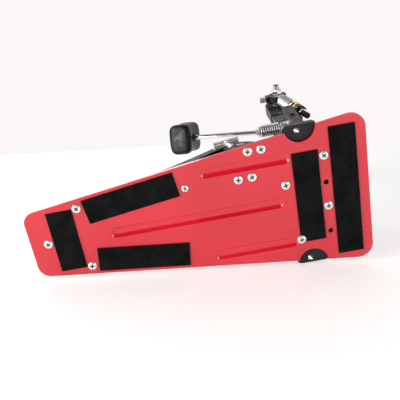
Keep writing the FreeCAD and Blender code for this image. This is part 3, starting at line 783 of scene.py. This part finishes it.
def pileTree(finish):
    tree, start = newTree("hookPile", stripSizes)
    points = scatterPoints(tree, start)
    hook = hookShape(tree, start)
    tilt = pileLook["tilt"]
    spin = tree.nodes.new("FunctionNodeRandomValue")
    spin.data_type = "FLOAT_VECTOR"
    spin.inputs[0].default_value = (math.pi - tilt, -tilt, 0)
    spin.inputs[1].default_value = (math.pi + tilt, tilt, 2 * math.pi)
    place = tree.nodes.new("GeometryNodeInstanceOnPoints")
    tree.links.new(start.outputs["seed"], spin.inputs["Seed"])
    tree.links.new(points, place.inputs["Points"])
    tree.links.new(hook, place.inputs["Instance"])
    tree.links.new(spin.outputs[0], place.inputs["Rotation"])
    both = tree.nodes.new("GeometryNodeJoinGeometry")
    tree.links.new(start.outputs["Geometry"], both.inputs[0])
    tree.links.new(place.outputs["Instances"], both.inputs[0])
    closeTree(tree, both.outputs[0], finish)
    return tree


def makeStrips(node, name, tree):
    mesh = mergedCopy(node, name)
    # the tape itself stops short of the floor, and the hooks stand between the two
    for vertex in mesh.vertices:
        if vertex.co.z < 0.1 * mm:
            vertex.co.z = stripSizes["pile"]
    strips = newPiece(name, mesh, finishes["hook_loop"])
    easeEdges(strips, 0.3 * mm)
    runTree(strips, tree, stripSizes)
    standIn(strips, node, "base")


hookPile = pileTree(finishes["hook_loop"])
makeStrips("cross_strips", "crossHookStrips", hookPile)
makeStrips("side_strips", "sideHookStrips", hookPile)
print("hook strips ready")

springSizes = {
    "across": 63 * mm,
    "along": 118 * mm,
    "up": 147 * mm,
    "lean": 11,
    "coil": 6.6 * mm,
    "wire": 0.9 * mm,
    "start": 6.5 * mm,
    "long": 30 * mm,
    "turns": 13.5,
    "hook": 3.6 * mm,
}
anchorSizes = {
    "coil": 5.3 * mm,
    "wire": 1.05 * mm,
    "start": 78 * mm,
    "long": 20 * mm,
    "turns": 8.8,
}
wireSides = 10
helixSteps = 22


def wireTree(name, finish):
    # sweeps a round wire along the piece's own line of points
    tree, start = newTree(name, {"wire": 1.0 * mm, "sides": wireSides})
    curve = tree.nodes.new("GeometryNodeMeshToCurve")
    circle = tree.nodes.new("GeometryNodeCurvePrimitiveCircle")
    sweep = tree.nodes.new("GeometryNodeCurveToMesh")
    sweep.inputs["Fill Caps"].default_value = True
    smooth = tree.nodes.new("GeometryNodeSetShadeSmooth")
    tree.links.new(start.outputs["Geometry"], curve.inputs["Mesh"])
    tree.links.new(start.outputs["wire"], circle.inputs["Radius"])
    tree.links.new(start.outputs["sides"], circle.inputs["Resolution"])
    tree.links.new(curve.outputs["Curve"], sweep.inputs["Curve"])
    tree.links.new(circle.outputs["Curve"], sweep.inputs["Profile Curve"])
    tree.links.new(sweep.outputs["Mesh"], smooth.inputs["Geometry"])
    closeTree(tree, smooth.outputs["Geometry"], finish)
    return tree


def helix(radius, start, long, turns):
    points = []
    count = int(turns * helixSteps)
    for i in range(count + 1):
        share = i / count
        turn = 2 * math.pi * turns * share
        height = start + long * share
        points.append(Vector((radius * math.cos(turn), radius * math.sin(turn), height)))
    return points


def springHook(sizes):
    # the loop over the rocker's pin, then the bend out to the first turn
    points = []
    for i in range(25):
        turn = math.radians(-70 + 290 * i / 24)
        points.append(Vector((0, sizes["hook"] * math.cos(turn), -sizes["hook"] * math.sin(turn))))
    last = points[-1]
    first = Vector((sizes["coil"], 0, sizes["start"]))
    for i in range(1, 8):
        share = i / 8
        bend = share * share * (3 - 2 * share)
        bulge = Vector((0, 1.5 * mm * math.sin(math.pi * share), 0))
        points.append(last.lerp(first, bend) + bulge)
    return points


def wirePiece(name, points, wire, finish):
    mesh = bpy.data.meshes.new(name)
    mesh.from_pydata(points, [(i, i + 1) for i in range(len(points) - 1)], [])
    piece = newPiece(name, mesh, finish)
    return runTree(piece, wireTree(name, finish), {"wire": wire, "sides": wireSides})


def makeReturnSpring():
    sizes = springSizes
    points = springHook(sizes)
    points += helix(sizes["coil"], sizes["start"], sizes["long"], sizes["turns"])
    turn = Matrix.Rotation(math.radians(180 + sizes["lean"]), 4, "X")
    place = Matrix.Translation((sizes["across"], sizes["along"], sizes["up"])) @ turn
    points = [place @ point for point in points]
    spring = wirePiece("coiledReturnSpring", points, sizes["wire"], finishes["chrome"])
    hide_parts("return_spring")
    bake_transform(spring)


def makeAnchorSpring():
    sizes = anchorSizes
    low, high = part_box("anchor_bolt")
    turn = Matrix.Rotation(math.radians(-90), 4, "X")
    middle = (low + high) / 2
    place = Matrix.Translation((middle.x, sizes["start"], middle.z)) @ turn
    points = [place @ point for point in helix(sizes["coil"], 0, sizes["long"], sizes["turns"])]
    spring = wirePiece("anchorCoil", points, sizes["wire"], finishes["steel"])
    standIn(spring, "anchor_spring", "base")


makeReturnSpring()
makeAnchorSpring()
print("springs ready")

headSizes = {
    "axle": (0, 116 * mm, 165 * mm),
    "lean": 71.3,
    "onShaft": (15.5 * mm, 9.6 * mm, 131.6 * mm),
    "turn": 14,
    "halfAcross": 19.5 * mm,
    "halfLong": 14.5 * mm,
    "coreHalf": 13.5 * mm,
    "square": 4.2,
    "sides": 72,
    "coreInset": 0.3 * mm,
    "waist": 0.6 * mm,
    "coreSteps": 10,
    "capSteps": 6,
    "collarSides": 32,
}
collarRings = [(4.2, 2.0), (5.4, 1.4), (5.8, 0.4), (5.4, 0.0)]
# each ring: how far out from the core, and how far in from the outline
hardRings = [
    (0.0, 0.7),
    (0.3, 0.3),
    (1.0, 0.0),
    (4.0, 0.0),
    (6.0, 0.4),
    (7.2, 1.2),
    (8.0, 2.5),
    (8.5, 4.4),
]
feltRings = [(0.0, 0.7), (0.4, 0.2), (1.2, 0.0), (7.2, 0.0), (8.1, 0.6), (8.6, 1.6)]


def headMatrix():
    sizes = headSizes
    lean = Matrix.Rotation(math.radians(sizes["lean"]), 4, "X")
    turn = Matrix.Rotation(math.radians(sizes["turn"]), 4, "Z")
    return Matrix.Translation(sizes["axle"]) @ lean @ Matrix.Translation(sizes["onShaft"]) @ turn


def outlinePoint(turn, across, long, square):
    # a rounded rectangle as a superellipse
    side = math.cos(turn)
    rise = math.sin(turn)
    x = across * math.copysign(abs(side) ** (2 / square), side)
    z = long * math.copysign(abs(rise) ** (2 / square), rise)
    return x, z


def headRing(shape, across, long, square, scale, y):
    # one closed ring of corners around the head, at distance y along its axis
    ring = []
    for i in range(headSizes["sides"]):
        turn = 2 * math.pi * i / headSizes["sides"]
        x, z = outlinePoint(turn, across, long, square)
        ring.append(shape.verts.new((x * scale, y, z * scale)))
    return ring


def headPiece(shape, name, finish):
    bmesh.ops.recalc_face_normals(shape, faces=shape.faces)
    mesh = bpy.data.meshes.new(name)
    shape.to_mesh(mesh)
    shape.free()
    mesh.transform(headMatrix())
    smoothFaces(mesh, 50)
    return newPiece(name, mesh, finish)


def facePlan(rings, crown):
    # depth, inset, scale and squareness of every ring, from the core to the middle of the cap
    square = headSizes["square"]
    steps = headSizes["capSteps"]
    rim, rimInset = rings[-1]
    plan = [(deep * mm, inset * mm, 1.0, square) for deep, inset in rings]
    # the outline grows rounder towards the middle, so the cap has no creases
    for k in range(1, steps):
        share = k / steps
        deep = rim + crown * (1 - (1 - share) ** 2)
        plan.append((deep * mm, rimInset * mm, 1 - share, square + (2 - square) * share))
    return plan


def stackRings(name, rings, side, crown, finish):
    # rings outwards from the core along Y, then a crowned cap and a flat back
    core = headSizes["coreHalf"]
    shape = bmesh.new()
    made = []
    for deep, inset, scale, square in facePlan(rings, crown):
        across = headSizes["halfAcross"] - inset
        long = headSizes["halfLong"] - inset
        made.append(headRing(shape, across, long, square, scale, side * (core + deep)))
    loft(shape, made)
    tip = shape.verts.new((0, side * (core + (rings[-1][0] + crown) * mm), 0))
    back = shape.verts.new((0, side * core, 0))
    for i in range(headSizes["sides"]):
        j = (i + 1) % headSizes["sides"]
        shape.faces.new((made[-1][i], made[-1][j], tip))
        shape.faces.new((made[0][j], made[0][i], back))
    return headPiece(shape, name, finish)


def collarMesh():
    # the collar where the shaft enters, below the core
    collar = bmesh.new()
    rings = [(radius * mm, height * mm) for radius, height in collarRings]
    lathe(collar, rings, headSizes["collarSides"])
    mesh = bpy.data.meshes.new("collarShape")
    collar.to_mesh(mesh)
    collar.free()
    mesh.transform(Matrix.Translation((0, 0, -headSizes["halfLong"] - 0.2 * mm)))
    return mesh


def makeCore():
    # the moulded middle: a rounded block, waisted a little, with the shaft's collar
    sizes = headSizes
    shape = bmesh.new()
    rings = []
    for k in range(sizes["coreSteps"] + 1):
        share = k / sizes["coreSteps"] * 2 - 1
        waist = sizes["waist"] * (1 - share * share)
        across = sizes["halfAcross"] - sizes["coreInset"] - waist * 0.6
        long = sizes["halfLong"] - sizes["coreInset"] - waist
        y = share * sizes["coreHalf"]
        rings.append(headRing(shape, across, long, sizes["square"], 1.0, y))
    loft(shape, rings)
    shape.faces.new(rings[0])
    shape.faces.new(list(reversed(rings[-1])))
    shape.from_mesh(collarMesh())
    return headPiece(shape, "beaterBody", finishes["black_plastic"])


def makeBeaterHead():
    body = makeCore()
    standIn(body, "beater_core", "beater_head")
    hard = stackRings("beaterHardFace", hardRings, -1, 0.5, finishes["black_plastic"])
    standIn(hard, "beater_hard_face", "beater_head")
    felt = stackRings("beaterFeltFace", feltRings, 1, 0.3, finishes["felt"])
    standIn(felt, "beater_felt_face", "beater_head")


makeBeaterHead()
print("beater head ready")

# how far each casting's or bent part's edges are eased, in millimetres
easedParts = {
    "footboard": 0.6,
    "heel_plate": 0.9,
    "right_post": 0.8,
    "left_post": 0.8,
    "right_housing": 1.0,
    "left_housing": 1.0,
    "tension_bracket": 0.7,
    "spring_rocker": 0.7,
    "clamp_bracket": 0.5,
    "clamp_base": 0.5,
    "clamp_jaw": 0.8,
    "clamp_push_bar": 0.5,
    "post_bridge": 0.5,
    "key_clip": 0.6,
    "toe_clevis": 0.4,
    "drive_link": 0.5,
    "drive_arm": 0.6,
    "beater_hub": 0.6,
    "t_screw": 0.3,
    "key_bolts": 0.6,
    "rocker_nut": 0.4,
    "tension_nut": 0.3,
    "spring_lock_nut": 0.4,
    "anchor_bolt": 0.4,
    "axle_shaft": 0.3,
    "jaw_pad": 0.4,
    "hoop_pad": 0.4,
}
# plated in pale zinc rather than chrome
paleParts = ("t_screw", "key_bolts", "anchor_bolt")
# faces left in black paint: the underside of the feet, which is painted shade, and the shaft's black
# tip
footShadeAndBlackTip = {
    "right_post": {"below": 5.5 * mm},
    "left_post": {"below": 5.5 * mm},
    "axle_shaft": {"beyond": 73.5 * mm},
}


def paintFootShadeAndBlackTip(piece, rule):
    piece.data.materials.append(finishes["black_paint"])
    for face in piece.data.polygons:
        if "below" in rule:
            # faces low on the feet that look down turn black: painted shade
            chosen = face.normal.z < -0.7 and face.center.z < rule["below"]
        else:
            chosen = face.center.x > rule["beyond"]
        if chosen:
            face.material_index = 1


def easedName(node):
    words = node.split("_")
    return "eased" + "".join(word.capitalize() for word in words)


def makeEasedParts():
    for node, width in easedParts.items():
        original = frame["nodes"][node]
        slot = "zinc" if node in paleParts else slotOfNode[node]
        piece = newPiece(easedName(node), mergedCopy(node, easedName(node)), finishes[slot])
        easeEdges(piece, width * mm)
        if node in footShadeAndBlackTip:
            paintFootShadeAndBlackTip(piece, footShadeAndBlackTip[node])
        standIn(piece, node, original["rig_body"])


makeEasedParts()
print("eased parts ready")
